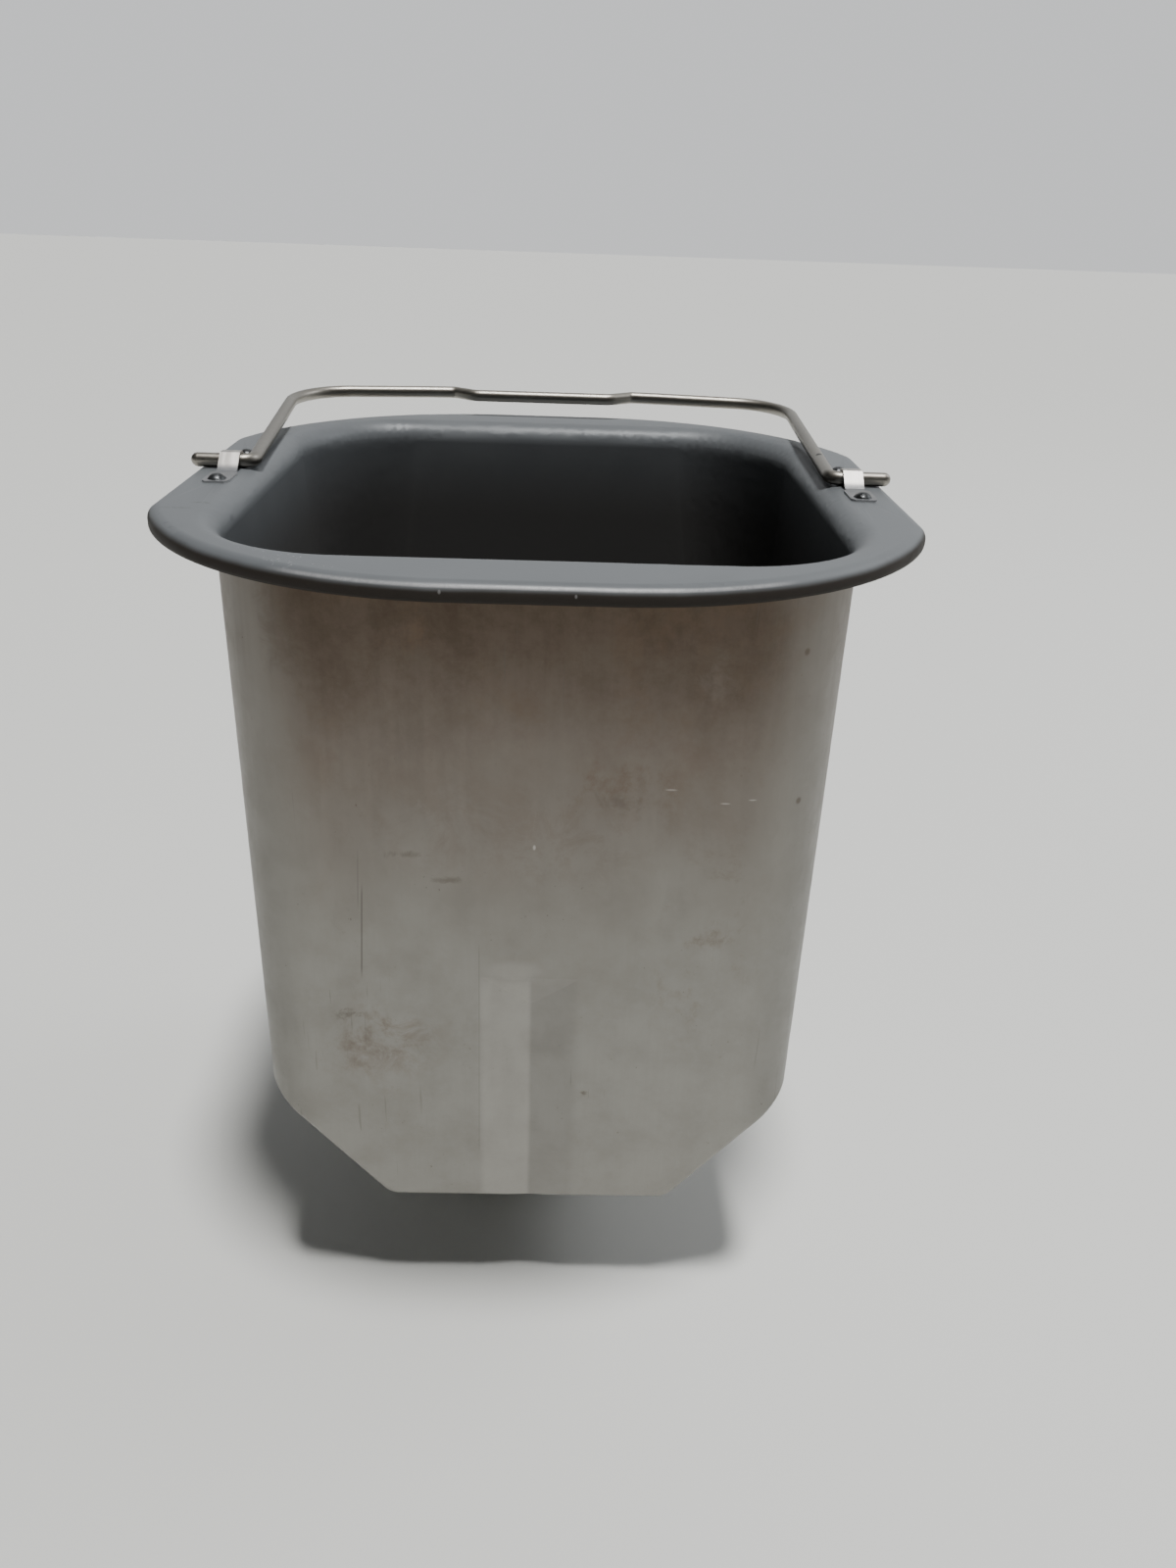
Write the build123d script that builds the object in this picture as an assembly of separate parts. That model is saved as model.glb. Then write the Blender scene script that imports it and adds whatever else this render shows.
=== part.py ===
from build123d import *
from math import atan2, cos, hypot, radians, sin, sqrt, tan
import os

# Bread pan: a deep drawn tub with a rolled flange, a wire bail in two riveted
# clips, a foot ring, and a sealed bearing that carries the kneading drive.
# Millimetres, +Z up, origin at the centre of the foot ring's lower face.
# -Y is the front, +X is the right-hand side seen from the front.

# ---------------------------------------------------------------- driving dimensions
RIM_Z = 212.0            # flange top above the surface it stands on
FOOT_H = 32.0            # height of the foot ring, so the tub's floor starts here
SHEET = 1.5              # tub sheet thickness
TUB_W = 144.6            # outside width at the rim, X
TUB_D = 149.4            # outside depth at the rim, Y
TUB_R = 32.5             # vertical corner radius at the rim
TUB_FLOOR_R = 3.7        # the same corner radius at the floor
WALL_TAPER = 0.034       # how much each wall comes in per millimetre down
SLOPE_DEG = 51.0         # lean of the two sloped lower sides, from the floor
FLOOR_HW = 37.5          # half width of the flat floor strip

FLANGE_HW = 89.0         # half width across the two side flats
FLANGE_HD = 95.0         # half depth, front edge to back edge
FLANGE_R = 76.0          # large corner arc of the flange
FLANGE_SHIFT = 3.0       # how much of the round outline the side flats cut away
KINK_R = 9.0             # rounding where a side flat meets the arc
ROLL_R = 3.2             # outer roll of the flange
LIP_DROP = 3.8           # how far the rolled lip hangs down
MOUTH_R = 6.0            # rounding from the flange into the tub
FLOOR_BEND = 6.0         # bend between the floor strip and the slopes
EDGE_R = 1.8             # outside rounding from the walls into floor and slopes
EDGE_R_INSIDE = 1.5      # the same edges inside

RIB_HW = 12.0            # half width of the kneading rib pressed into front and back
RIB_DEPTH = 1.2
RIB_LEN = 74.0           # from the tub's floor upwards
RIB_RUN = 7.0            # sloped upper end of the rib

WIRE_D = 3.5             # bail wire
PIVOT_X = 79.4           # clip centre
PIN_TIP_X = 89.7         # outer end of the bail's pins
LEG_X = 74.0             # where the pins bend into the legs
CORNER_X = 78.2          # where the splayed legs reach the bar
CORNER_V = 88.5
BAR_X = 38.0
BAR_V = 93.5
KINK_X = 28.5
KINK_V = 94.3
GRIP_X = 21.5
GRIP_V = 90.0
BAR_SHIFT = -2.0         # the bar sits this far left of the pins
CORNER_R = 18.0
BEND_R = 2.9
REST_TILT = 2.7          # the bail's rise above the flange where it lies back, degrees

STRAP_W = 5.0
STRAP_T = 0.5
STRAP_TOP = 1.2          # half length of the strap's flat top
STRAP_FOOT = 5.6         # where the strap meets the flange, from the pivot
FOOT_END = 18.4          # end of each clip foot, from the pivot
FRONT_PAD_W = 6.6        # the front foot is wider than the strap
RIVET_Y = 15.2
RIVET_HEAD_R = 2.3
RIVET_HEAD_H = 1.3
RIVET_R = 1.5
RIVET_TAIL_H = 1.0       # lower, set end of a clip rivet

RING_R = 31.5            # foot ring, outside radius
RING_WALL = 2.5
RING_PLATE = 2.0         # plate of the foot ring against the tub's floor
RING_PLATE_R = 22.0      # inner radius of that plate
NOTCH_W = 8.0            # keying notches in the ring's lower edge
NOTCH_H = 7.0
BASE_RIVET_PCR = 26.0
BASE_RIVET_R = 2.0
BASE_HEAD_R = 3.4
BASE_HEAD_H = 1.2
BASE_TAIL_R = 3.0        # lower, set end of a foot rivet
BASE_TAIL_H = 1.4

SHAFT_R = 4.0
BUSH_R = 6.0
BUSH_LEN = 6.0
BOSS_R = 9.0             # threaded part of the bearing housing
HOUSING_FLANGE_R = 15.0
HOUSING_FLANGE_T = 2.5
GASKET_T = 0.8
NUT_R = 14.0             # hub nut, across its corners before they are turned down
NUT_TURNED_R = 13.4
NUT_T = 4.5
SEAL_R = 7.0
SEAL_POCKET = 4.5        # depth of the seal's pocket in the housing
CAP_T = 0.8
WASHER_T = 0.6           # both thrust washers
CLIP_T = 0.7             # retaining clip
CLIP_R = 6.6
PIN_Z = 5.3              # height of the coupling's cross pin
PIN_R = 1.5
PIN_LEN = 15.4
COUPLING_LOW = 2.0
COUPLING_W = 40.0        # across the two wings
WING_W = 7.0
WING_T = 5.0
COUPLING_HUB_R = 8.0
SHAFT_RISE = 30.0        # top of the shaft above the tub's floor
SHAFT_LOW = 2.4
FLAT_RISE = 14.5         # lower end of the shaft's D-flat above the floor
FLAT_X = 2.8             # the flat's distance from the axis
PADDLE_HUB_R = 8.0
PADDLE_RISE = 31.0       # top of the paddle's hub above the floor
BLADE_RISE = 35.5        # top of the blade above the floor
HOUSING_DROP = 20.0      # how far the bearing housing hangs under the tub
PADDLE_REACH = 33.0
PADDLE_T = 4.0

# ---------------------------------------------------------------- clearances
PIN_GAP = 0.05           # running fit of the bail's pins
SHAFT_GAP = 0.05         # running fit of shaft in bushes, paddle on shaft
RIVET_GAP = 0.05
AXIAL_GAP = 0.3          # between parts that turn and parts that don't

# ---------------------------------------------------------------- derived
WIRE_R = WIRE_D / 2
PIVOT_Z = RIM_Z + WIRE_R + PIN_GAP
CORNER_TAPER = (TUB_R - TUB_FLOOR_R) / (RIM_Z - FOOT_H)
FLOOR_Z = FOOT_H + SHEET
SLOPE_TOP = (TUB_W / 2 - FLOOR_HW) * tan(radians(SLOPE_DEG))
HOUSING_TOP = FLOOR_Z + 8.5
HOUSING_LOW = FOOT_H - HOUSING_DROP
HOUSING_FLANGE_Z = FOOT_H - GASKET_T
SHAFT_TOP = FLOOR_Z + SHAFT_RISE
FLAT_FROM = FLOOR_Z + FLAT_RISE
PADDLE_TOP = FLOOR_Z + PADDLE_RISE
BLADE_TOP = FLOOR_Z + BLADE_RISE


def save(shape, name):
    shape.label = name
    export_step(shape, "parts/" + name + ".step")


def ring(r_out, r_in, z0, z1):
    """Plain washer or tube between two heights."""
    outer = Cylinder(r_out, z1 - z0, align=(Align.CENTER, Align.CENTER, Align.MIN))
    inner = Cylinder(r_in, z1 - z0, align=(Align.CENTER, Align.CENTER, Align.MIN))
    return Pos(0, 0, z0) * (outer - inner)


def rod(r, z0, z1):
    return Pos(0, 0, z0) * Cylinder(r, z1 - z0, align=(Align.CENTER, Align.CENTER, Align.MIN))


def turned(points):
    """Solid of revolution about Z from (r, z) points."""
    outline = Polyline(*[(r, 0, z) for r, z in points], close=True)
    return revolve(make_face(outline), Axis.Z, 360)


# ---------------------------------------------------------------- tub
def lower_profile(inset):
    """Front outline of the lower tub: floor strip and two slopes, extruded along Y."""
    lean = radians(SLOPE_DEG)
    z0 = FOOT_H + inset
    x0 = FLOOR_HW - inset * tan(lean / 2)
    reach = 80.0
    xs = x0 + reach
    zs = z0 + reach * tan(lean)
    top = RIM_Z + 60
    points = [(-x0, z0), (x0, z0), (xs, zs), (xs, top), (-xs, top), (-xs, zs)]
    face = make_face(Polyline(*[(x, 0, z) for x, z in points], close=True))
    block = extrude(face, amount=120, both=True, dir=(0, 1, 0))
    bends = block.edges().filter_by(Axis.Y).sort_by(Axis.Z)[:2]
    return fillet(bends, FLOOR_BEND - inset)


def tub_section(inset, z):
    """Plan section of the tub at a height, shrunk by inset."""
    down = RIM_Z - z
    width = TUB_W - 2 * (WALL_TAPER * down + inset)
    depth = TUB_D - 2 * (WALL_TAPER * down + inset)
    return Pos(0, 0, z) * RectangleRounded(width, depth, TUB_R - CORNER_TAPER * down - inset)


def tub(inset, top, edge_r):
    """The tub as a solid, shrunk by inset. The walls carry on upwards to top."""
    walls = loft([tub_section(inset, FOOT_H - 5), tub_section(inset, top)], ruled=True)
    body = (walls & lower_profile(inset)).solids()[0]
    limit = FOOT_H + SLOPE_TOP + 6
    loop = [
        e for e in body.edges()
        if e.bounding_box().max.Z < limit
        and (abs(e.center().Y) > 5 or abs(e.center().X) > 55)
    ]
    return fillet(loop, edge_r)


def face_y(z):
    """Distance of the tapered front and back walls from the centre at a height."""
    return TUB_D / 2 - (RIM_Z - z) * WALL_TAPER


def rib(side, thick):
    """V-shaped prism of one kneading rib. side is -1 for front, +1 for back."""
    slope = RIB_DEPTH / RIB_HW
    depth = RIB_DEPTH + thick / cos(atan2(RIB_DEPTH, RIB_HW))
    out = 2.0
    half = (depth + out) / slope
    z_low = FOOT_H - 4
    z_top = FOOT_H + RIB_LEN + thick * hypot(RIB_DEPTH, RIB_RUN) / RIB_DEPTH
    run = RIB_RUN / RIB_DEPTH
    faces = []
    for z in (z_low, z_top + out * run):
        y = face_y(z)
        points = [(-half, y + out), (half, y + out), (0, y - depth)]
        faces.append(make_face(Polyline(*[(x, side * v, z) for x, v in points], close=True)))
    wedge = loft(faces)
    y = face_y(z_top)
    far = 12.0
    cut = [
        (y + 3, z_top + 3 * run),
        (y - far, z_top - far * run),
        (y - far, z_top + 60),
        (y + 3, z_top + 60),
    ]
    lid = make_face(Polyline(*[(0, side * v, z) for v, z in cut], close=True))
    return wedge - extrude(lid, amount=60, both=True, dir=(1, 0, 0))


def flange_outline(shrink):
    """Plan outline of the flange: round corners cut by two straight side flats."""
    round_w = FLANGE_HW + FLANGE_SHIFT
    plan = RectangleRounded(2 * (round_w - shrink), 2 * (FLANGE_HD - shrink), FLANGE_R - shrink)
    plan = plan & Rectangle(2 * (FLANGE_HW - shrink), 4 * FLANGE_HD)
    kinks = [v for v in plan.vertices() if abs(abs(v.X) - (FLANGE_HW - shrink)) < 0.01]
    return fillet(kinks, KINK_R - shrink)


def flange_plate(shrink, z0, z1, r):
    plate = extrude(Pos(0, 0, z0) * flange_outline(shrink), amount=z1 - z0)
    top = [e for e in plate.edges() if e.bounding_box().min.Z > z1 - 0.01]
    return fillet(top, r)


def pan_body():
    lip = flange_plate(0, RIM_Z - LIP_DROP, RIM_Z, ROLL_R)
    under = flange_plate(SHEET, RIM_Z - LIP_DROP - 2, RIM_Z - SHEET, ROLL_R - SHEET)
    shell = tub(0, RIM_Z, EDGE_R)
    body = ((lip - under) + shell).solids()[0]
    z = RIM_Z - SHEET
    neck = [
        e for e in body.edges()
        if abs(e.bounding_box().min.Z - z) < 0.01 and abs(e.bounding_box().max.Z - z) < 0.01
        and abs(e.center().X) < TUB_W / 2 + 0.5 and abs(e.center().Y) < TUB_D / 2 + 0.5
    ]
    body = fillet(neck, MOUTH_R - SHEET)
    for side in (-1, 1):
        body = body - rib(side, 0)
    cavity = tub(SHEET, RIM_Z + 10, EDGE_R_INSIDE)
    for side in (-1, 1):
        cavity = cavity - rib(side, SHEET)
    body = (body - cavity).solids()[0]
    mouth = [
        e for e in body.edges()
        if e.bounding_box().min.Z > RIM_Z - 0.01
        and abs(e.center().X) < TUB_W / 2 and abs(e.center().Y) < TUB_D / 2
    ]
    body = fillet(mouth, MOUTH_R)
    for x, y in clip_rivet_points():
        body = body - Pos(x, y, 0) * rod(RIVET_R + RIVET_GAP, RIM_Z - 4, RIM_Z + 2)
    for x, y in base_rivet_points():
        body = body - Pos(x, y, 0) * rod(BASE_RIVET_R + RIVET_GAP, FOOT_H - 2, FLOOR_Z + 2)
    return body - rod(BOSS_R + RIVET_GAP, FOOT_H - 2, FLOOR_Z + 2)


# ---------------------------------------------------------------- bail and its clips
def rounded_path(points, radii):
    """Lines joined by tangent arcs. radii holds one value per inner corner."""
    edges = []
    start = Vector(*points[0])
    for i in range(1, len(points) - 1):
        here = Vector(*points[i])
        before = (Vector(*points[i - 1]) - here).normalized()
        after = (Vector(*points[i + 1]) - here).normalized()
        half = radians(before.get_angle(after)) / 2
        cut = radii[i - 1] / tan(half)
        p1 = here + before * cut
        p2 = here + after * cut
        bisect = (before + after).normalized()
        middle = here + bisect * (radii[i - 1] / sin(half) - radii[i - 1])
        edges.append(Line(start, p1))
        edges.append(ThreePointArc(p1, middle, p2))
        start = p2
    edges.append(Line(start, Vector(*points[-1])))
    return edges


def handle_bail():
    tip = PIN_TIP_X - WIRE_R
    pin = [(tip, 0, 0), (LEG_X, 0, 0)]
    bar = [(CORNER_X, CORNER_V), (BAR_X, BAR_V), (KINK_X, KINK_V), (GRIP_X, GRIP_V)]
    right = pin + [(x + BAR_SHIFT, y, 0) for x, y in bar]
    left = pin + [(x - BAR_SHIFT, y, 0) for x, y in bar]
    points = right + [(-x, y, 0) for x, y, _ in reversed(left)]
    radii = [BEND_R, CORNER_R, 60.0, 4.0, 4.0]
    path = Wire(rounded_path(points, radii + radii[::-1]))
    section = Plane(origin=(tip, 0, 0), z_dir=(-1, 0, 0)) * Circle(WIRE_R)
    bail = sweep(section, path=path)
    for x in (-tip, tip):
        bail = bail + Pos(x, 0, 0) * Sphere(WIRE_R)
    return Pos(0, 0, PIVOT_Z) * Rot(REST_TILT, 0, 0) * bail


def clip_rivet_points():
    return [(sx * PIVOT_X, sy * RIVET_Y) for sx in (-1, 1) for sy in (-1, 1)]


def strap_profile():
    """Side view of a clip: foot, slope up, flat over the pin, slope down, foot."""
    top = PIVOT_Z + WIRE_R + PIN_GAP
    inner = [(-STRAP_FOOT, RIM_Z), (-STRAP_TOP, top), (STRAP_TOP, top), (STRAP_FOOT, RIM_Z)]
    lean = atan2(top - RIM_Z, STRAP_FOOT - STRAP_TOP)
    step = STRAP_T * tan(lean / 2)
    y_top = STRAP_TOP + step
    y_foot = STRAP_FOOT + step
    outer = [
        (FOOT_END, RIM_Z), (FOOT_END, RIM_Z + STRAP_T), (y_foot, RIM_Z + STRAP_T),
        (y_top, top + STRAP_T), (-y_top, top + STRAP_T), (-y_foot, RIM_Z + STRAP_T),
        (-FOOT_END, RIM_Z + STRAP_T), (-FOOT_END, RIM_Z),
    ]
    return make_face(Polyline(*[(0, y, z) for y, z in inner + outer], close=True))


def handle_clip(sx):
    strap = extrude(strap_profile(), amount=STRAP_W / 2, both=True, dir=(1, 0, 0))
    y0 = -FOOT_END
    y1 = -STRAP_FOOT - 1.0
    pad = Pos(0, (y0 + y1) / 2, RIM_Z) * extrude(
        RectangleRounded(FRONT_PAD_W, y1 - y0, 2.0), amount=STRAP_T
    )
    clip = strap + pad
    clip = Pos(sx * PIVOT_X, 0, 0) * clip
    for x, y in clip_rivet_points():
        clip = clip - Pos(x, y, 0) * rod(RIVET_R + RIVET_GAP, RIM_Z - 4, RIM_Z + 4)
    return clip


def dome(r, h, z0, steps=7):
    """(r, z) points of a shallow domed head standing on z0, outside to centre."""
    ball = (r * r + h * h) / (2 * h)
    points = []
    for i in range(steps + 1):
        rr = r * (1 - i / steps)
        points.append((rr, z0 + h - ball + sqrt(ball * ball - rr * rr)))
    return points


def clip_rivet(x, y):
    top = RIM_Z + STRAP_T
    low = RIM_Z - SHEET
    foot = low - RIVET_TAIL_H
    points = [(0, foot), (RIVET_HEAD_R, foot), (RIVET_HEAD_R, low), (RIVET_R, low)]
    points = points + [(RIVET_R, top)] + dome(RIVET_HEAD_R, RIVET_HEAD_H, top)
    return Pos(x, y, 0) * turned(points)


# ---------------------------------------------------------------- foot ring and bearing
def base_rivet_points():
    a = BASE_RIVET_PCR * sin(radians(45))
    return [(-a, -a), (a, -a), (a, a), (-a, a)]


def base_ring():
    body = ring(RING_R, RING_R - RING_WALL, 0, FOOT_H)
    body = body + ring(RING_R, RING_PLATE_R, FOOT_H - RING_PLATE, FOOT_H)
    notch = Box(NOTCH_W, 4 * RING_R, NOTCH_H, align=(Align.CENTER, Align.CENTER, Align.MIN))
    body = body - Pos(0, 0, -0.001) * notch
    for x, y in base_rivet_points():
        body = body - Pos(x, y, 0) * rod(BASE_RIVET_R + RIVET_GAP, FOOT_H - 4, FOOT_H + 2)
    return body


def base_rivet(x, y):
    low = FOOT_H - RING_PLATE
    foot = low - BASE_TAIL_H
    points = [(0, foot), (BASE_TAIL_R, foot), (BASE_TAIL_R, low), (BASE_RIVET_R, low)]
    points = points + [(BASE_RIVET_R, FLOOR_Z)] + dome(BASE_HEAD_R, BASE_HEAD_H, FLOOR_Z)
    return Pos(x, y, 0) * turned(points)


def bearing_housing():
    body = rod(BOSS_R - 0.5, HOUSING_LOW, HOUSING_FLANGE_Z)
    body = body + rod(HOUSING_FLANGE_R, HOUSING_FLANGE_Z - HOUSING_FLANGE_T, HOUSING_FLANGE_Z)
    body = body + rod(BOSS_R, HOUSING_FLANGE_Z, HOUSING_TOP)
    body = body - rod(BUSH_R, HOUSING_LOW - 1, HOUSING_TOP + 1)
    return body - rod(SEAL_R, HOUSING_TOP - SEAL_POCKET, HOUSING_TOP + 1)


def hub_nut():
    body = extrude(RegularPolygon(NUT_R, 6) & Circle(NUT_TURNED_R), amount=NUT_T)
    return Pos(0, 0, FLOOR_Z) * (body - rod(BOSS_R + RIVET_GAP, -1, NUT_T + 1))


def bush(z0, z1):
    return ring(BUSH_R, SHAFT_R + SHAFT_GAP, z0, z1)


def shaft_seal():
    low = HOUSING_TOP - SEAL_POCKET
    lip = SHAFT_R + SHAFT_GAP
    points = [
        (lip, low + 1.0), (lip + 1.0, low), (SEAL_R - 0.02, low), (SEAL_R - 0.02, low + 3.5),
        (lip + 1.2, low + 3.5), (lip, low + 2.6),
    ]
    return turned(points)


def seal_cap():
    return ring(SEAL_R - 0.02, SHAFT_R + 1.2, HOUSING_TOP - 0.2 - CAP_T, HOUSING_TOP - 0.2)


# ---------------------------------------------------------------- drive train
WASHER_Z = HOUSING_TOP + AXIAL_GAP
CLIP_Z = WASHER_Z + WASHER_T
COUPLING_TOP = HOUSING_LOW - AXIAL_GAP - WASHER_T


def drive_shaft():
    body = rod(SHAFT_R, SHAFT_LOW, SHAFT_TOP)
    ends = body.edges().filter_by(GeomType.CIRCLE)
    body = chamfer(ends, 0.6)
    flat = Box(10, 20, 40, align=(Align.MIN, Align.CENTER, Align.MIN))
    body = body - Pos(FLAT_X, 0, FLAT_FROM) * flat
    body = body - ring(SHAFT_R + 1, SHAFT_R - 0.8, CLIP_Z, CLIP_Z + CLIP_T + 0.1)
    return body - cross_pin(RIVET_GAP, 30)


def cross_pin(grow, length):
    return Pos(0, 0, PIN_Z) * Rot(90, 0, 0) * Cylinder(PIN_R + grow, length)


def retaining_clip():
    body = ring(CLIP_R, SHAFT_R - 0.75, CLIP_Z, CLIP_Z + CLIP_T)
    mouth = Pos(0, -5, CLIP_Z) * Box(6.4, 10, 4)
    return body - mouth


def drive_coupling():
    wings = Pos(0, 0, COUPLING_LOW) * extrude(SlotOverall(COUPLING_W, WING_W), amount=WING_T)
    body = wings + rod(COUPLING_HUB_R, COUPLING_LOW, COUPLING_TOP)
    body = body - rod(SHAFT_R + 0.02, 0, 20)
    return body - cross_pin(RIVET_GAP, 30)


def kneading_paddle():
    low = CLIP_Z + CLIP_T + AXIAL_GAP
    hub = rod(PADDLE_HUB_R, low, PADDLE_TOP)
    hub = fillet(hub.edges().group_by(Axis.Z)[-1], 1.5)
    clear_x = NUT_R + 1.5
    foot = FLOOR_Z + 2.5
    blade_points = [
        (0, low), (clear_x - 2.5, low), (clear_x, low - 3.5), (clear_x, foot),
        (PADDLE_REACH, foot), (PADDLE_REACH, BLADE_TOP - 13), (PADDLE_REACH - 7, BLADE_TOP),
        (PADDLE_REACH - 16, BLADE_TOP), (PADDLE_HUB_R, PADDLE_TOP - 4), (0, PADDLE_TOP - 4),
    ]
    plan = make_face(Polyline(*[(x, 0, z) for x, z in blade_points], close=True))
    blade = extrude(plan, amount=PADDLE_T / 2, both=True, dir=(0, 1, 0))
    tips = [e for e in blade.edges().filter_by(Axis.Y) if e.center().X > clear_x and e.center().Z > foot + 1]
    blade = fillet(tips, 5.0)
    body = hub + blade
    bore = rod(SHAFT_R + SHAFT_GAP, 0, 100)
    flat = Box(10, 20, 60, align=(Align.MIN, Align.CENTER, Align.MIN))
    bore = bore - Pos(FLAT_X + SHAFT_GAP, 0, FLAT_FROM + AXIAL_GAP) * flat
    return body - bore


# ---------------------------------------------------------------- export
def build():
    os.makedirs("parts", exist_ok=True)
    save(pan_body(), "pan_body")
    save(handle_bail(), "handle_bail")
    save(handle_clip(-1), "left_handle_clip")
    save(handle_clip(1), "right_handle_clip")
    names = ["left_front", "left_rear", "right_front", "right_rear"]
    for name, (x, y) in zip(names, clip_rivet_points()):
        save(clip_rivet(x, y), name + "_clip_rivet")
    save(base_ring(), "base_ring")
    for i, (x, y) in enumerate(base_rivet_points()):
        save(base_rivet(x, y), "base_rivet_" + str(i + 1))
    save(ring(HOUSING_FLANGE_R, BOSS_R + 0.3, HOUSING_FLANGE_Z, FOOT_H), "housing_gasket")
    save(bearing_housing(), "bearing_housing")
    save(hub_nut(), "hub_nut")
    save(bush(HOUSING_LOW, HOUSING_LOW + BUSH_LEN), "lower_bush")
    bush_top = HOUSING_TOP - SEAL_POCKET - 0.5
    save(bush(bush_top - BUSH_LEN, bush_top), "upper_bush")
    save(shaft_seal(), "shaft_seal")
    save(seal_cap(), "seal_cap")
    save(drive_shaft(), "drive_shaft")
    save(ring(6.8, SHAFT_R + 0.05, WASHER_Z, CLIP_Z), "upper_thrust_washer")
    save(retaining_clip(), "retaining_clip")
    save(ring(8.0, SHAFT_R + 0.05, COUPLING_TOP, COUPLING_TOP + WASHER_T), "lower_thrust_washer")
    save(drive_coupling(), "drive_coupling")
    save(cross_pin(0, PIN_LEN), "coupling_pin")
    save(kneading_paddle(), "kneading_paddle")


build()
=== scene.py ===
import math

import bmesh
import bpy
from mathutils import Matrix, Vector


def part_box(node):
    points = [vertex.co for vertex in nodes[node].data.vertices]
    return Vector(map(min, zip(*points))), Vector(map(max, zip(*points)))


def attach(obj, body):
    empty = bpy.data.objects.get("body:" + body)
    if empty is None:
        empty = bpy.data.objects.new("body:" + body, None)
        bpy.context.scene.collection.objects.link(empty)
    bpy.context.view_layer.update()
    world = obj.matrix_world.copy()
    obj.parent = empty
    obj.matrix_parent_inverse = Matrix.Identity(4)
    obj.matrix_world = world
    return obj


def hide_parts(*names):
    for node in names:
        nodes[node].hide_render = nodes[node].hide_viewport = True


# A bread machine's pan standing on its foot ring, with its wire bail laid back over the flange.
# Metres, +Z up, front towards -Y.

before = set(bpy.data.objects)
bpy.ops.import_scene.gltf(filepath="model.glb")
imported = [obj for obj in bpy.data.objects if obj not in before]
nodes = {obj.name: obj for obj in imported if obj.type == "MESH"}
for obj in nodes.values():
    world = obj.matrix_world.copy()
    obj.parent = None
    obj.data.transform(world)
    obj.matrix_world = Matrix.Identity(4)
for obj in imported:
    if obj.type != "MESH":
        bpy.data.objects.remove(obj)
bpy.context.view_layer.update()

RIM_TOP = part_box("pan_body")[1].z
TUB_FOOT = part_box("pan_body")[0].z
FLANGE_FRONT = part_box("pan_body")[0].y
LIP_HANG = 0.0038               # how far the flange's rolled lip hangs below its top
CURL_UNDER = 0.0014             # height of the lip's curled-in underside
RIB_HALF_WIDTH = 0.015          # taken wide enough to hold every fold of a kneading rib
RIB_TOP = TUB_FOOT + 0.083
RIB_CREASE = math.radians(7)    # a fold sharper than this is shaded as a fold
WALL_NEAR = 0.060               # every point of the front and back walls is further out than this
RAGGEDNESS = 7                  # how far a ragged blob's edge strays, in its own radii
CAVITY_HEART = Vector((0, 0, 0.12))
TUB_CORNER = (0.0398, 0.0422)   # centre of the rounded corner in the tub's plan at the rim
TUB_CORNER_RADIUS = 0.0325
MOUTH_REACH = 0.005             # width of the rounded mouth between the tub and the flange

FLOOR_HALF = 6.0
SUN_STRENGTH = 3.7
SUN_SPREAD = math.radians(9)
SUN_WAY = (-0.065, 0.13, -1)        # the way the overhead light falls
BRIGHT_SIDE = (0.5, 0.86, -0.2)     # where the room is brightest
BRIGHT_ROOM = 0.8
DIM_ROOM = 0.02
CAMERA_PLACE = (0.00498, -0.31349, 0.27875)
CAMERA_TURN_DOWN_ROLL = (1.707, 26.254, 2.064)
CAMERA_LENS = 27.68                 # millimetres, on the sensor width below
CAMERA_SENSOR = 36


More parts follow.
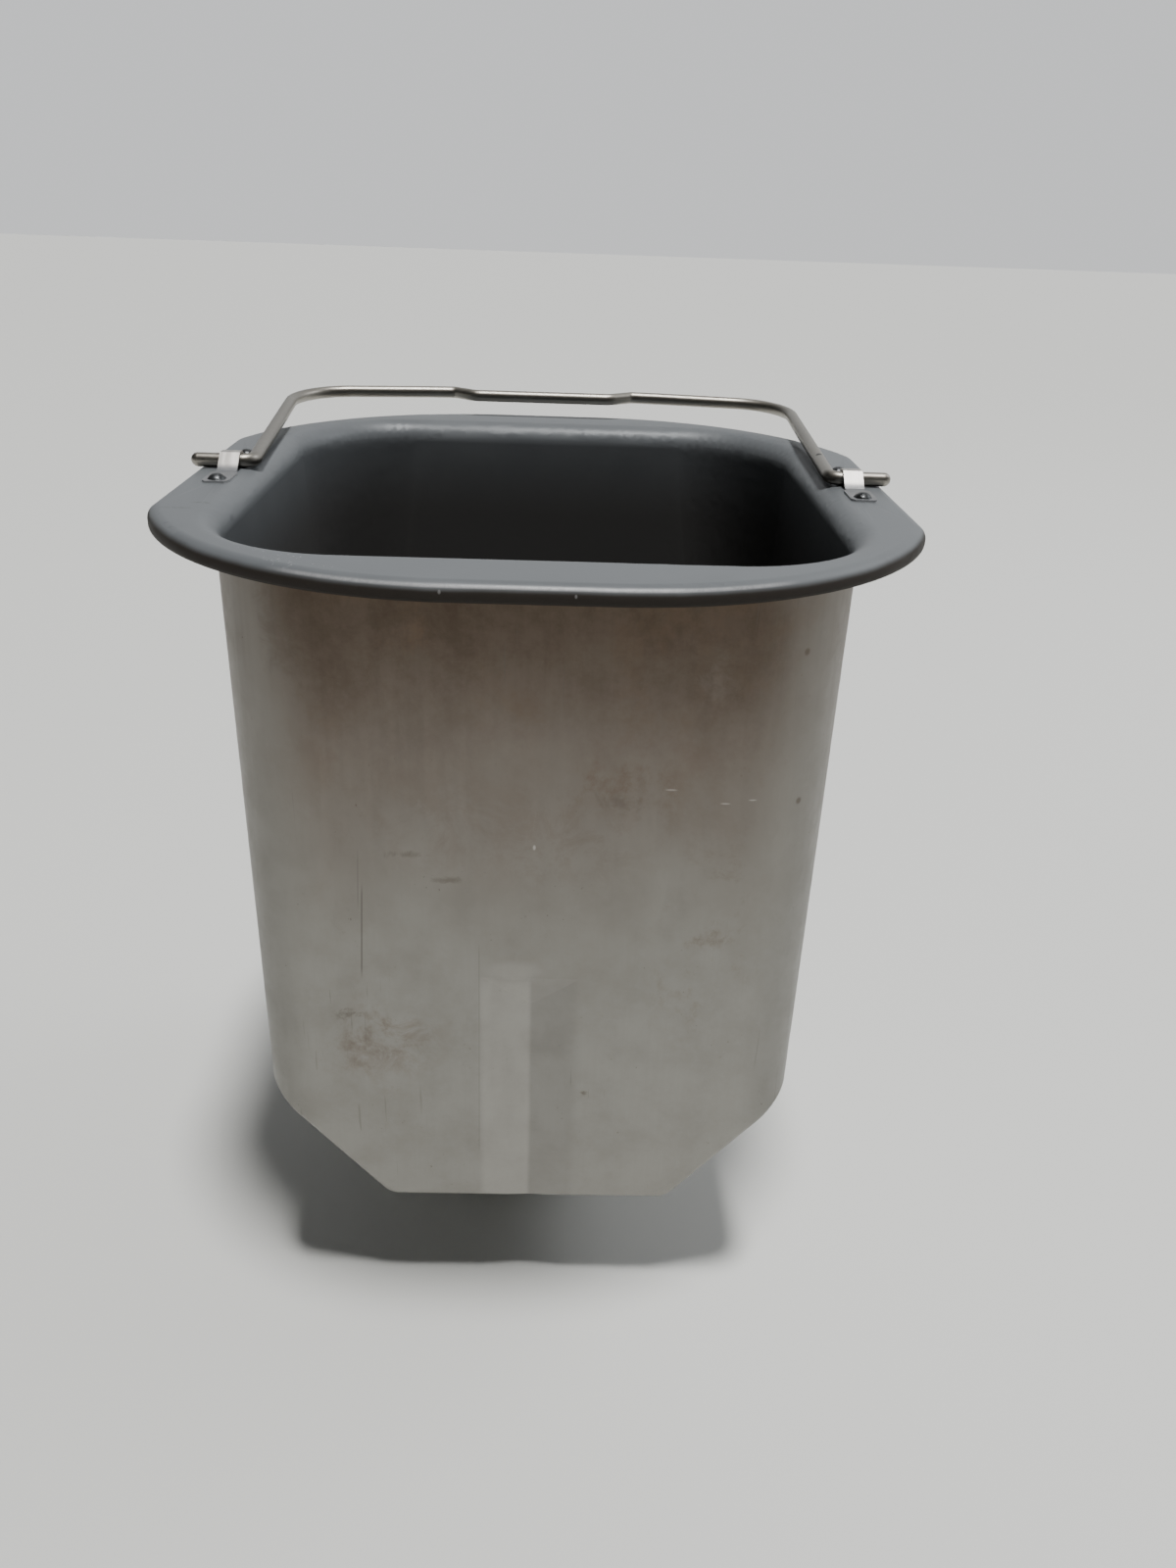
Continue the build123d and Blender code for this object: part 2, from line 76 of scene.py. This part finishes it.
# ------------------------------------------------------------ finish building
class Finish:
    """One procedural finish, its patterns fixed to the piece by Object coordinates."""

    def __init__(self, name, color, roughness, metallic):
        self.material = bpy.data.materials.new(name)
        self.material.use_nodes = True
        self.tree = self.material.node_tree
        self.shader = self.tree.nodes["Principled BSDF"]
        self.shader.inputs["Base Color"].default_value = (*color, 1)
        self.shader.inputs["Roughness"].default_value = roughness
        self.shader.inputs["Metallic"].default_value = metallic
        self.place = self.tree.nodes.new("ShaderNodeTexCoord").outputs["Object"]
        parts = self.tree.nodes.new("ShaderNodeSeparateXYZ")
        self.link(self.place, parts.inputs["Vector"])
        self.x, self.y, self.z = parts.outputs
        self.front = self.ramp(self.y, -WALL_NEAR - 0.004, -WALL_NEAR, 1, 0)

    def link(self, source, target):
        self.tree.links.new(source, target)

    def feed(self, value, target):
        if isinstance(value, (int, float)):
            target.default_value = value
        elif isinstance(value, tuple):
            target.default_value = (*value, 1)
        else:
            self.link(value, target)

    def stretched(self, scale=(1, 1, 1), shift=(0, 0, 0), turn=(0, 0, 0)):
        node = self.tree.nodes.new("ShaderNodeMapping")
        node.inputs["Location"].default_value = shift
        node.inputs["Rotation"].default_value = [math.radians(a) for a in turn]
        node.inputs["Scale"].default_value = scale
        self.link(self.place, node.inputs["Vector"])
        return node.outputs["Vector"]

    def noise(self, where, scale, detail=4.0, rough=0.55, warp=0.0):
        node = self.tree.nodes.new("ShaderNodeTexNoise")
        node.inputs["Scale"].default_value = scale
        node.inputs["Detail"].default_value = detail
        node.inputs["Roughness"].default_value = rough
        node.inputs["Distortion"].default_value = warp
        self.link(where, node.inputs["Vector"])
        return node.outputs["Fac"]

    def ramp(self, value, low, high, out_low=0.0, out_high=1.0):
        node = self.tree.nodes.new("ShaderNodeMapRange")
        node.interpolation_type = "SMOOTHSTEP"
        node.inputs["From Min"].default_value = low
        node.inputs["From Max"].default_value = high
        node.inputs["To Min"].default_value = out_low
        node.inputs["To Max"].default_value = out_high
        self.link(value, node.inputs["Value"])
        return node.outputs["Result"]

    def sum(self, operation, a, b=0.0):
        node = self.tree.nodes.new("ShaderNodeMath")
        node.operation = operation
        self.feed(a, node.inputs[0])
        self.feed(b, node.inputs[1])
        return node.outputs["Value"]

    def times(self, *shares):
        total = shares[0]
        for share in shares[1:]:
            total = self.sum("MULTIPLY", total, share)
        return total

    def most(self, *shares):
        total = shares[0]
        for share in shares[1:]:
            total = self.sum("MAXIMUM", total, share)
        return total

    def band(self, value, rise_from, rise_to, fall_from, fall_to):
        """1 between two heights or widths, falling to 0 at both ends."""
        rising = self.ramp(value, rise_from, rise_to)
        return self.times(rising, self.ramp(value, fall_from, fall_to, 1, 0))

    def wavered(self, value, pattern, amount):
        """A value pushed up and down by a noise pattern, by up to half the amount."""
        return self.sum("ADD", value, self.times(self.sum("SUBTRACT", pattern, 0.5), amount))

    def spot(self, centre, radius, soft=0.35, flatten=(1, 1, 1), ragged=None):
        """1 inside a blob round a point on the piece, falling to 0 outside it."""
        node = self.tree.nodes.new("ShaderNodeVectorMath")
        node.operation = "DISTANCE"
        where = self.stretched(flatten)
        self.link(where, node.inputs[0])
        node.inputs[1].default_value = [c * f for c, f in zip(centre, flatten)]
        away = node.outputs["Value"]
        if ragged is not None:
            away = self.wavered(away, ragged, RAGGEDNESS * radius)
        return self.ramp(away, radius * (1 - soft), radius * (1 + soft), 1, 0)

    def front_spot(self, x, z, radius, soft=0.4, tall=1.0, ragged=None):
        """A blob on the front wall, tall times as high as it is wide."""
        blob = self.spot((x, 0, z), radius, soft, (1, 0, 1 / tall), ragged)
        return self.times(blob, self.front)

    def hairline(self, x, z_low, z_high, lean=0.0, width=0.00022):
        """A fine upright line on the front wall; lean is its sideways run for a unit of height."""
        line = self.sum("ADD", x - lean * z_low, self.times(self.z, lean))
        off = self.sum("ABSOLUTE", self.sum("SUBTRACT", self.x, line))
        along = self.band(self.z, z_low - 0.002, z_low + 0.003, z_high - 0.003, z_high + 0.002)
        return self.times(self.ramp(off, width * 0.4, width, 1, 0), along, self.front)

    def outside_tub(self):
        """How far a point is outside the tub's plan outline at the rim."""
        reach = []
        for across, corner in zip((self.x, self.y), TUB_CORNER):
            past = self.most(self.sum("SUBTRACT", self.sum("ABSOLUTE", across), corner), 0.0)
            reach.append(self.times(past, past))
        return self.sum("SUBTRACT", self.sum("SQRT", self.sum("ADD", *reach)), TUB_CORNER_RADIUS)

    def tint(self, share, below, above):
        """The colour below where share is 0, and above where it is 1."""
        node = self.tree.nodes.new("ShaderNodeMix")
        node.data_type = "RGBA"
        sockets = {s.identifier: s for s in node.inputs}
        self.feed(share, sockets["Factor_Float"])
        self.feed(below, sockets["A_Color"])
        self.feed(above, sockets["B_Color"])
        return next(s for s in node.outputs if s.identifier == "Result_Color")

    def bump(self, height, distance, strength=1.0):
        node = self.tree.nodes.new("ShaderNodeBump")
        node.inputs["Strength"].default_value = strength
        node.inputs["Distance"].default_value = distance
        self.link(height, node.inputs["Height"])
        self.link(node.outputs["Normal"], self.shader.inputs["Normal"])

    def color(self, value):
        self.feed(value, self.shader.inputs["Base Color"])

    def metallic(self, value):
        self.feed(value, self.shader.inputs["Metallic"])

    def roughness(self, value):
        self.feed(value, self.shader.inputs["Roughness"])


# ------------------------------------------------------------ finishes
def baked_aluminium():
    """Bare drawn sheet: pale and matt at the foot and corners, browned by baking under the flange. Its
    rounded corners carry painted shade, and the front rib painted light and shade.
    """
    f = Finish("baked_aluminium", (0.32, 0.31, 0.29), 0.46, 0.8)
    grain = f.noise(f.stretched((700, 700, 10)), 1.0, 4, 0.6)
    cloud = f.noise(f.stretched((1, 1, 0.7)), 22, 6, 0.65, 0.1)
    mottle = f.noise(f.stretched((1, 1, 1), (0.4, 0.2, 0.1)), 75, 7, 0.75, 0.1)
    ragged = f.noise(f.stretched((1, 1, 1), (0.2, 0.7, 0.3)), 150, 6, 0.75, 0.6)
    metal = f.tint(f.ramp(grain, 0.25, 0.75), (0.292, 0.284, 0.260), (0.314, 0.306, 0.281))
    metal = f.tint(f.ramp(mottle, 0.35, 0.7, 0, 0.5), metal, (0.272, 0.258, 0.232))
    along = f.sum("MINIMUM", f.sum("ABSOLUTE", f.x), f.sum("ABSOLUTE", f.y))
    # Painted shade: the tub's rounded upright corners are darkened, standing in for the dimmer light
    # they turn towards.
    metal = f.tint(f.times(f.ramp(along, 0.052, 0.064), 0.5), metal, (0.205, 0.200, 0.184))
    flat = f.ramp(f.wavered(along, cloud, 0.018), 0.044, 0.063, 1, 0.30)
    browned = f.ramp(f.wavered(f.z, cloud, 0.05), 0.095, 0.200)
    toasted = f.tint(f.ramp(mottle, 0.3, 0.7), (0.138, 0.107, 0.084), (0.190, 0.157, 0.131))
    skin = f.tint(f.times(browned, flat), metal, toasted)
    under_lip = f.ramp(f.wavered(f.z, cloud, 0.03), RIM_TOP - 0.052, RIM_TOP - 0.006)
    roasted = f.tint(f.ramp(mottle, 0.35, 0.65), (0.060, 0.041, 0.027), (0.092, 0.067, 0.047))
    skin = f.tint(f.times(under_lip, flat, 0.85), skin, roasted)
    burning = f.noise(f.stretched((1, 1, 0.9), (0.31, 0.12, 0.22)), 34, 9, 0.75, 0.15)
    burnt = f.ramp(burning, 0.50, 0.66)
    clouds = f.most(
        f.front_spot(-0.037, 0.086, 0.014, 0.7),
        f.front_spot(-0.023, 0.190, 0.016, 0.8, 0.6),
        f.front_spot(0.018, 0.158, 0.014, 0.8),
        f.front_spot(0.042, 0.117, 0.012, 0.8, 2.0),
        f.times(browned, flat, 0.45),
    )
    skin = f.tint(f.times(burnt, clouds, 0.7), skin, (0.150, 0.104, 0.070))
    rusty = f.most(
        f.front_spot(-0.036, 0.086, 0.012, 0.7, 0.85),
        f.times(f.front_spot(0.004, 0.147, 0.022, 0.8, 0.6), 0.6),
        f.times(f.front_spot(-0.020, 0.150, 0.016, 0.8, 0.8), 0.5),
    )
    blotches = f.noise(f.stretched((1, 1, 1), (0.15, 0.4, 0.6)), 90, 7, 0.8, 0.5)
    blotched = f.ramp(blotches, 0.42, 0.60)
    skin = f.tint(f.times(rusty, blotched, 0.45), skin, (0.165, 0.118, 0.088))
    smudges = f.most(
        f.times(f.front_spot(-0.0288, 0.1406, 0.0026, 0.9, 0.25, ragged), 0.7),
        f.times(f.front_spot(-0.0195, 0.1339, 0.0026, 0.9, 0.22, ragged), 0.7),
        f.front_spot(-0.0450, 0.0935, 0.0022, 0.8, 0.6, ragged),
        f.times(f.front_spot(-0.0537, 0.1952, 0.0030, 0.9, 3.0, ragged), 0.45),
        f.times(f.front_spot(0.0190, 0.1560, 0.0030, 0.9, 0.7, ragged), 0.6),
        f.front_spot(0.0138, 0.0697, 0.0009, 0.6, 1.0, ragged),
        f.front_spot(0.0584, 0.1911, 0.0006, 0.5, 1.3),
        f.front_spot(0.0606, 0.1548, 0.0006, 0.5, 1.3),
    )
    skin = f.tint(f.times(smudges, 0.6), skin, (0.095, 0.070, 0.050))
    field = f.noise(f.stretched((1, 1, 1), (0.9, 0.3, 0.5)), 900, 2, 0.5)
    specks = f.times(f.ramp(field, 0.70, 0.76), f.ramp(f.noise(f.place, 70, 3), 0.50, 0.66))
    skin = f.tint(f.times(specks, 0.55), skin, (0.10, 0.075, 0.058))
    scratch_field = f.noise(f.stretched((1500, 1500, 7), (3, 1, 0)), 1.0, 1, 0.5)
    scratches = f.times(f.ramp(scratch_field, 0.72, 0.75), f.ramp(f.noise(f.place, 24, 2), 0.52, 0.64))
    scored = f.most(
        f.times(scratches, 0.4),
        f.times(f.hairline(-0.0410, 0.1061, 0.1315, 0.055), 0.75),
        f.times(f.hairline(-0.0408, 0.1260, 0.1409, 0.053, 0.00016), 0.4),
        f.times(f.hairline(-0.0131, 0.0485, 0.1154, 0.009, 0.00016), 0.35),
    )
    skin = f.tint(scored, skin, (0.12, 0.108, 0.094))
    nicks = f.most(
        f.front_spot(0.0004, 0.1432, 0.0003, 0.5, 2.0),
        f.times(f.front_spot(0.0308, 0.1590, 0.0012, 0.5, 0.18), 0.6),
        f.times(f.front_spot(0.0432, 0.1558, 0.0010, 0.5, 0.16), 0.8),
        f.times(f.front_spot(0.0493, 0.1568, 0.0008, 0.5, 0.20), 0.8),
        f.times(f.front_spot(0.0395, 0.1866, 0.0026, 0.9, 1.2, ragged), 0.08),
    )
    # Painted light and shade on the front kneading rib: the left facet and the top end are lightened
    # as painted highlight, and the right facet is darkened as painted shade.
    on_rib = f.times(f.ramp(f.z, RIB_TOP - 0.013, RIB_TOP - 0.007, 1, 0), f.front)
    painted_lit_facet = f.times(f.band(f.x, -0.0136, -0.0112, -0.0009, 0.0005), on_rib)
    painted_shaded_facet = f.times(f.band(f.x, -0.0005, 0.0007, 0.0100, 0.0128), on_rib)
    painted_rib_top_highlight = f.front_spot(-0.004, RIB_TOP - 0.007, 0.006, 0.5, 0.45)
    skin = f.tint(f.times(f.most(painted_lit_facet, painted_rib_top_highlight), 0.30), skin, (0.47, 0.455, 0.425))
    skin = f.tint(f.times(painted_shaded_facet, 0.26), skin, (0.185, 0.176, 0.168))
    f.color(f.tint(f.times(nicks, 0.8), skin, (0.50, 0.48, 0.45)))
    uneven_sheen = f.sum("ADD", f.times(mottle, 0.6), f.times(grain, 0.4))
    f.roughness(f.ramp(uneven_sheen, 0.3, 0.7, 0.4, 0.56))
    f.bump(f.sum("ADD", f.times(grain, 0.5), f.times(mottle, 0.5)), 0.00006, 0.3)
    return f.material


def grey_coat():
    """Non-stick coat: even blue-grey with a fine orange-peel skin, rubbed along the flange. Painted
    shade darkens it inside the tub and on the lip's lower half, which also carries a baked-on stain,
    and a painted highlight runs along the front of the lip's shoulder.
    """
    f = Finish("grey_coat", (0.15, 0.155, 0.165), 0.4, 0.1)
    f.shader.inputs["Specular IOR Level"].default_value = 0.22
    skin = f.noise(f.place, 700, 3, 0.6)
    haze = f.noise(f.stretched((1, 1, 1)), 32, 5, 0.6, 0.3)
    ragged = f.noise(f.stretched((1, 1, 1), (0.7, 0.1, 0)), 420, 5, 0.75, 1.5)
    # Painted shade: the coat is darker down inside the tub than on the flange, standing in for the
    # shade in the cavity.
    flange = f.ramp(f.z, RIM_TOP - 0.03, RIM_TOP - 0.001)
    coat = f.tint(f.ramp(haze, 0.3, 0.7), (0.138, 0.149, 0.160), (0.156, 0.168, 0.179))
    coat = f.tint(flange, (0.088, 0.087, 0.086), coat)
    beyond = f.ramp(f.outside_tub(), MOUTH_REACH, MOUTH_REACH + 0.001)
    # The lip's lower half, below its shoulder, turns brown-black: partly a baked-on stain, partly
    # painted shade where the curl turns down, away from the light.
    shoulder = f.ramp(f.wavered(f.z, haze, 0.0008), RIM_TOP - 0.0020, RIM_TOP - 0.0006, 1, 0)
    lip = f.times(shoulder, f.ramp(f.z, RIM_TOP - 0.010, RIM_TOP - 0.008))
    lip_stain_and_shade = f.times(lip, beyond)
    coat = f.tint(f.times(lip_stain_and_shade, 0.95), coat, (0.018, 0.013, 0.009))
    scuffs = f.times(
        f.ramp(ragged, 0.60, 0.64),
        f.most(
            f.spot((-0.0488, -0.0816, RIM_TOP), 0.0034, 0.7),
            f.spot((-0.0416, -0.0863, RIM_TOP), 0.0020, 0.7),
            f.spot((-0.0560, -0.0740, RIM_TOP), 0.0030, 0.7),
        ),
    )
    nick_shape = (1, 0.3, 0.7)
    nicks = f.most(
        f.spot((-0.0177, FLANGE_FRONT, RIM_TOP - 0.0018), 0.00028, 0.5, nick_shape),
        f.spot((0.0080, FLANGE_FRONT, RIM_TOP - 0.0020), 0.00024, 0.5, nick_shape),
        f.spot((0.0402, FLANGE_FRONT, RIM_TOP - 0.0018), 0.00024, 0.5, nick_shape),
    )
    coat = f.tint(f.most(f.times(scuffs, 0.8), f.times(nicks, 0.2)), coat, (0.62, 0.62, 0.63))
    # Painted highlight: a thin pale line along the front of the lip's shoulder, standing in for its
    # glint.
    shine = f.band(f.z, RIM_TOP - 0.0013, RIM_TOP - 0.0009, RIM_TOP - 0.0008, RIM_TOP - 0.0004)
    at_front = f.ramp(f.y, -0.089, -0.084, 1, 0)
    painted_shoulder_highlight = f.times(shine, beyond, at_front, f.ramp(ragged, 0.3, 0.7, 0.5, 0.9))
    coat = f.tint(f.times(painted_shoulder_highlight, 0.6), coat, (0.50, 0.50, 0.51))
    rub_shape = (0.4, 1.6, 1)
    rubs = f.most(
        f.spot((-0.0811, -0.0435, RIM_TOP), 0.0012, 0.7, rub_shape),
        f.spot((-0.0770, -0.0380, RIM_TOP), 0.0008, 0.7, rub_shape),
    )
    f.color(f.tint(f.times(rubs, f.ramp(ragged, 0.45, 0.55), 0.5), coat, (0.05, 0.05, 0.05)))
    f.roughness(f.sum("ADD", f.ramp(haze, 0.3, 0.75, 0.40, 0.48), f.times(lip_stain_and_shade, 0.2)))
    f.bump(skin, 0.00004, 0.35)
    return f.material


def worn_nickel():
    """Plated bail wire gone warm grey."""
    f = Finish("worn_nickel", (0.33, 0.315, 0.285), 0.3, 1.0)
    broad = f.noise(f.place, 40, 3, 0.5)
    fine = f.noise(f.place, 1400, 3, 0.6)
    skin = f.tint(f.ramp(broad, 0.3, 0.7), (0.285, 0.270, 0.240), (0.315, 0.300, 0.270))
    pit = f.spot((0.0742, 0.018, RIM_TOP + 0.0045), 0.0009, 0.3)
    f.color(f.tint(pit, skin, (0.03, 0.025, 0.02)))
    f.roughness(f.ramp(fine, 0.3, 0.7, 0.36, 0.44))
    f.bump(fine, 0.00001, 0.3)
    return f.material


def clip_metal():
    """Bright rubbed strap with feet as dull as the flange; the feet's thin side faces are lightened as
    painted light.
    """
    f = Finish("clip_metal", (0.75, 0.75, 0.74), 0.36, 0.85)
    rub = f.noise(f.stretched((500, 90, 90)), 1.0, 4, 0.6)
    foot_low, foot_high = RIM_TOP + 0.0007, RIM_TOP + 0.0020
    # Painted light: the feet's thin side faces are lightened, taking out the dark shade along their
    # step.
    painted_light_on_foot_edge = f.ramp(f.z, RIM_TOP + 0.00038, RIM_TOP + 0.00046, 1, 0)
    foot = f.ramp(f.z, foot_low, foot_high, 1, 0)
    bright = f.tint(f.ramp(rub, 0.3, 0.7), (0.40, 0.385, 0.365), (0.58, 0.565, 0.545))
    bloom = f.ramp(f.noise(f.place, 500, 4, 0.6), 0.3, 0.7)
    dull = f.tint(bloom, (0.140, 0.146, 0.156), (0.185, 0.190, 0.200))
    skin = f.tint(foot, bright, dull)
    f.color(f.tint(painted_light_on_foot_edge, skin, (0.42, 0.43, 0.44)))
    f.metallic(f.ramp(f.z, foot_low, foot_high, 0.15, 0.85))
    f.roughness(f.ramp(rub, 0.3, 0.7, 0.34, 0.46))
    f.bump(rub, 0.00002, 0.3)
    return f.material


def cast_look(name, dark, light, roughness, metallic, grain=450.0, depth=0.00006):
    """A plain metal or moulding with fine even grain."""
    f = Finish(name, light, roughness, metallic)
    fine = f.noise(f.place, grain, 4, 0.6)
    broad = f.noise(f.place, grain / 9, 4, 0.6, 0.4)
    mixed = f.sum("ADD", f.times(fine, 0.5), f.times(broad, 0.5))
    f.color(f.tint(f.ramp(mixed, 0.35, 0.65), dark, light))
    f.roughness(f.ramp(broad, 0.3, 0.7, roughness * 0.85, min(1.0, roughness * 1.2)))
    f.bump(fine, depth, 0.4)
    return f.material


def turned_steel(name, dark, light, roughness, metallic=1.0):
    """Lathe-turned metal: fine rings round the shaft."""
    f = Finish(name, light, roughness, metallic)
    rings = f.noise(f.stretched((40, 40, 4000)), 1.0, 3, 0.6)
    f.color(f.tint(f.ramp(rings, 0.3, 0.7), dark, light))
    f.roughness(f.ramp(rings, 0.3, 0.7, roughness * 0.8, roughness * 1.25))
    f.bump(rings, 0.00002, 0.5)
    return f.material


# ------------------------------------------------------------ pan
def is_coated(centre, normal):
    """True for the faces the non-stick coat covers: the inside, the flange's top and its lip."""
    if centre.z > RIM_TOP - LIP_HANG - 1e-5:
        past = [max(abs(c) - corner, 0) for c, corner in zip(centre, TUB_CORNER)]
        beyond_tub = math.hypot(*past) > TUB_CORNER_RADIUS + MOUTH_REACH
        outward = Vector((centre.x, centre.y, 0)).normalized()
        if normal.z > 0.02:
            return True
        if normal.z < -0.3:
            return beyond_tub and centre.z < RIM_TOP - LIP_HANG + CURL_UNDER
        return normal.dot(outward) > 0 if beyond_tub else normal.dot(outward) < 0
    return normal.dot(centre - CAVITY_HEART) < 0


def is_rib_crease(edge):
    """True for the pressed folds of the two kneading ribs."""
    middle = (edge.verts[0].co + edge.verts[1].co) / 2
    on_rib = abs(middle.x) < RIB_HALF_WIDTH and abs(middle.y) > WALL_NEAR
    in_height = TUB_FOOT + 0.004 < middle.z < RIB_TOP
    return on_rib and in_height and len(edge.link_faces) == 2 and edge.calc_face_angle() > RIB_CREASE


def pan_shell(outside, inside):
    """The drawn pan, bare outside, coated inside and on the flange."""
    mesh = nodes["pan_body"].data.copy()
    mesh.name = "pan_shell"
    mesh.materials.clear()
    mesh.materials.append(outside)
    mesh.materials.append(inside)
    work = bmesh.new()
    work.from_mesh(mesh)
    bmesh.ops.remove_doubles(work, verts=work.verts, dist=1e-6)
    for face in work.faces:
        face.smooth = True
        face.material_index = int(is_coated(face.calc_center_median(), face.normal))
    for edge in work.edges:
        if is_rib_crease(edge):
            edge.smooth = False
    work.to_mesh(mesh)
    work.free()
    shell = bpy.data.objects.new("pan_shell", mesh)
    bpy.context.scene.collection.objects.link(shell)
    weighted = shell.modifiers.new("even_shading", "WEIGHTED_NORMAL")
    weighted.keep_sharp = True
    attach(shell, "pan")
    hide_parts("pan_body")


# ------------------------------------------------------------ finishes on the CAD nodes
def dress():
    steel = turned_steel("machined_steel", (0.50, 0.50, 0.49), (0.66, 0.66, 0.65), 0.28)
    cast = cast_look("cast_aluminium", (0.42, 0.42, 0.41), (0.56, 0.56, 0.55), 0.5, 0.85)
    silicone = cast_look(
        "red_silicone", (0.30, 0.07, 0.045), (0.37, 0.10, 0.07), 0.6, 0.0, 700, 0.00003
    )
    paddle = cast_look("paddle_coat", (0.085, 0.085, 0.09), (0.125, 0.125, 0.13), 0.4, 0.25, 600)
    bronze = turned_steel("oily_bronze", (0.38, 0.26, 0.12), (0.52, 0.38, 0.2), 0.36)
    clip = clip_metal()
    dark = cast_look(
        "tarnished_rivet", (0.012, 0.012, 0.013), (0.085, 0.09, 0.095), 0.3, 0.75, 1100, 0.0003
    )
    rivet = cast_look("rivet_aluminium", (0.40, 0.40, 0.40), (0.58, 0.58, 0.57), 0.4, 1.0)
    by_name = {
        "handle_bail": worn_nickel(), "left_handle_clip": clip, "right_handle_clip": clip,
        "base_ring": cast, "bearing_housing": cast, "housing_gasket": silicone,
        "shaft_seal": silicone, "hub_nut": paddle,
        "lower_bush": bronze, "upper_bush": bronze, "seal_cap": steel, "drive_shaft": steel,
        "upper_thrust_washer": steel, "retaining_clip": steel, "lower_thrust_washer": steel,
        "drive_coupling": cast, "coupling_pin": steel, "kneading_paddle": paddle,
    }
    for name, node in nodes.items():
        if name == "pan_body":
            continue
        material = by_name.get(name) or (dark if "clip_rivet" in name else rivet)
        node.data.materials.clear()
        node.data.materials.append(material)


# ------------------------------------------------------------ floor, light, camera
def floor():
    mesh = bpy.data.meshes.new("floor")
    work = bmesh.new()
    bmesh.ops.create_grid(work, x_segments=1, y_segments=1, size=FLOOR_HALF)
    work.to_mesh(mesh)
    work.free()
    plane = bpy.data.objects.new("floor", mesh)
    bpy.context.scene.collection.objects.link(plane)
    f = Finish("pale_floor", (0.74, 0.75, 0.735), 0.55, 0.0)
    mesh.materials.append(f.material)


def lamp(name, place, aim, size, power, color=(1, 1, 1)):
    light = bpy.data.lights.new(name, "AREA")
    light.shape = "RECTANGLE"
    light.size, light.size_y = size
    light.energy = power
    light.color = color
    holder = bpy.data.objects.new(name, light)
    bpy.context.scene.collection.objects.link(holder)
    holder.visible_camera = False
    holder.location = place
    holder.rotation_euler = (Vector(aim) - Vector(place)).to_track_quat("-Z", "Y").to_euler()


def lights():
    """Soft overhead light, with the room brighter behind and to the right of the pan.

    The backdrop itself is equally pale from every side; only its light differs.
    """
    world = bpy.data.worlds.new("studio")
    bpy.context.scene.world = world
    world.use_nodes = True
    tree = world.node_tree
    back = tree.nodes["Background"]
    way = tree.nodes.new("ShaderNodeTexCoord").outputs["Generated"]
    lean = tree.nodes.new("ShaderNodeVectorMath")
    lean.operation = "DOT_PRODUCT"
    tree.links.new(way, lean.inputs[0])
    lean.inputs[1].default_value = BRIGHT_SIDE
    share = tree.nodes.new("ShaderNodeMapRange")
    share.interpolation_type = "SMOOTHSTEP"
    share.inputs["From Min"].default_value = -0.2
    share.inputs["From Max"].default_value = 0.9
    share.inputs["To Min"].default_value = DIM_ROOM
    share.inputs["To Max"].default_value = BRIGHT_ROOM
    tree.links.new(lean.outputs["Value"], share.inputs["Value"])
    seen = tree.nodes.new("ShaderNodeMix")
    seen.inputs["B"].default_value = BRIGHT_ROOM
    path = tree.nodes.new("ShaderNodeLightPath")
    tree.links.new(path.outputs["Is Camera Ray"], seen.inputs["Factor"])
    tree.links.new(share.outputs["Result"], seen.inputs["A"])
    tree.links.new(seen.outputs["Result"], back.inputs["Strength"])
    back.inputs["Color"].default_value = (0.97, 0.985, 1.0, 1)
    sun = bpy.data.lights.new("ceiling", "SUN")
    sun.energy = SUN_STRENGTH
    sun.angle = SUN_SPREAD
    sun.color = (1, 0.985, 0.96)
    holder = bpy.data.objects.new("ceiling", sun)
    bpy.context.scene.collection.objects.link(holder)
    holder.location = (0, 0, 2)
    holder.rotation_euler = Vector(SUN_WAY).to_track_quat("-Z", "Y").to_euler()
    lamp("right_window", (0.95, 0.3, 1.0), (0, 0, 0.1), (0.5, 0.5), 3.0, (0.97, 0.985, 1))


def camera():
    turn, down, roll = (math.radians(a) for a in CAMERA_TURN_DOWN_ROLL)
    ahead = Vector((
        math.sin(turn) * math.cos(down), math.cos(turn) * math.cos(down), -math.sin(down)
    ))
    right = Vector((math.cos(turn), -math.sin(turn), 0))
    up = right.cross(ahead)
    across = math.cos(roll) * right + math.sin(roll) * up
    upward = -math.sin(roll) * right + math.cos(roll) * up
    lens = bpy.data.cameras.new("camera")
    lens.lens = CAMERA_LENS
    lens.sensor_width = CAMERA_SENSOR
    lens.clip_start = 0.01
    eye = bpy.data.objects.new("camera", lens)
    bpy.context.scene.collection.objects.link(eye)
    turned = Matrix((across, upward, -ahead)).transposed().to_4x4()
    eye.matrix_world = Matrix.Translation(CAMERA_PLACE) @ turned
    bpy.context.scene.camera = eye


pan_shell(baked_aluminium(), grey_coat())
dress()
floor()
lights()
camera()
